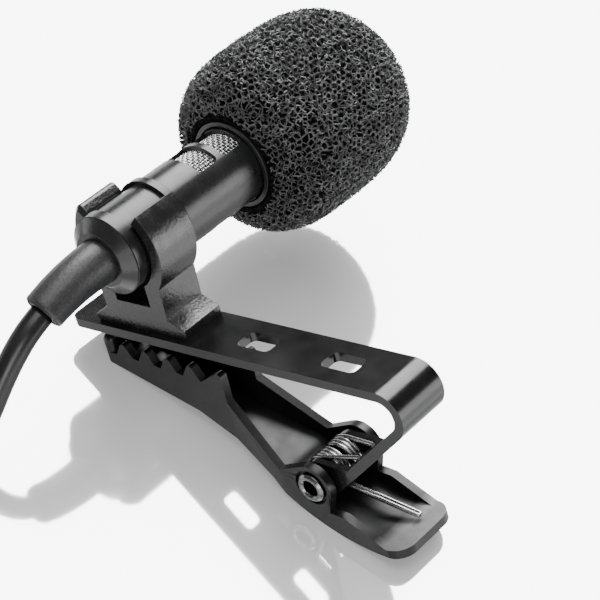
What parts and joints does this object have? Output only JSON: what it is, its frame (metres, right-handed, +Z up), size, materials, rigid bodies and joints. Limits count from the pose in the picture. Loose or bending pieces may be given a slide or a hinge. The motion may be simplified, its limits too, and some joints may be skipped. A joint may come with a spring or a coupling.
{
  "type": "lavalier microphone",
  "caption": "Small tubular clip-on microphone with a foam windscreen, held in a ring on a sprung, toothed lapel clip, with a thin cord that ends in a jack plug.",
  "frame": {"origin": "under the middle of the clip and microphone, on the table that the clip lies on", "axes": "+X along the clip towards its bend, +Y along the microphone towards its foam, +Z up"},
  "size_m": [0.0766, 0.1035, 0.0254],
  "materials": {
    "black_steel": "gloss black enamel on stamped steel",
    "rivet_steel": "nickel plated, satin",
    "spring_steel": "bright drawn wire",
    "holder_plastic": "gloss black moulding with a finely textured side",
    "satin_black": "satin black on turned brass",
    "silver_mesh": "woven wire",
    "boot_rubber": "satin moulded rubber",
    "capsule_metal": "satin can",
    "circuit_board": "matt green",
    "lead_sheath": "satin",
    "black_foam": "open-cell foam",
    "ring_plastic": "satin",
    "cord_sheath": "satin sheath",
    "tie_fabric": "hook and loop tape",
    "plug_plastic": "satin moulding",
    "contact_gold": "gold plated",
    "insulator_plastic": "satin"
  },
  "bodies": {
    "jaw": {"lower_jaw": "black_steel", "pivot_pin": "rivet_steel", "torsion_spring": "spring_steel", "cord_lead": "cord_sheath", "cord_coil": "cord_sheath", "cord_tie": "tie_fabric", "plug_lead": "cord_sheath", "plug_relief": "plug_plastic", "plug_grip": "plug_plastic", "plug_sleeve": "contact_gold", "plug_ring_rear": "contact_gold", "plug_ring_front": "contact_gold", "plug_insulators": "insulator_plastic", "plug_tip": "contact_gold"},
    "arm": {"clip_arm": "black_steel", "mic_holder": "holder_plastic"},
    "microphone": {"mic_barrel": "satin_black", "grille_mesh": "silver_mesh", "tail_cap": "satin_black", "cable_boot": "boot_rubber", "cable_clamp": "rivet_steel", "cable_tail": "cord_sheath", "electret_capsule": "capsule_metal", "capsule_gasket": "boot_rubber", "capsule_board": "circuit_board", "capsule_leads": "lead_sheath", "front_cap": "satin_black"},
    "windscreen": {"foam_windscreen": "black_foam", "windscreen_ring": "ring_plastic"}
  },
  "joints": [
    {"name": "clip_hinge", "type": "hinge", "parent": "jaw", "child": "arm", "pos_m": [0.0128, -0.01153, 0.00366], "axis": [0, 1, 0], "range_deg": [0, 30], "stiffness_Nm_per_rad": 0.02, "springref_deg": -68.75, "deforming": ["torsion_spring"]},
    {"name": "mic_spin", "type": "hinge", "parent": "arm", "child": "microphone", "pos_m": [-0.01431, -0.01153, 0.01547], "axis": [0, 1, 0], "range_deg": [-180, 180], "deforming": ["cable_boot", "cable_tail"]},
    {"name": "windscreen_slide", "type": "slide", "parent": "microphone", "child": "windscreen", "axis": [0, 1, 0], "range_m": [0, 0.012]}
  ]
}
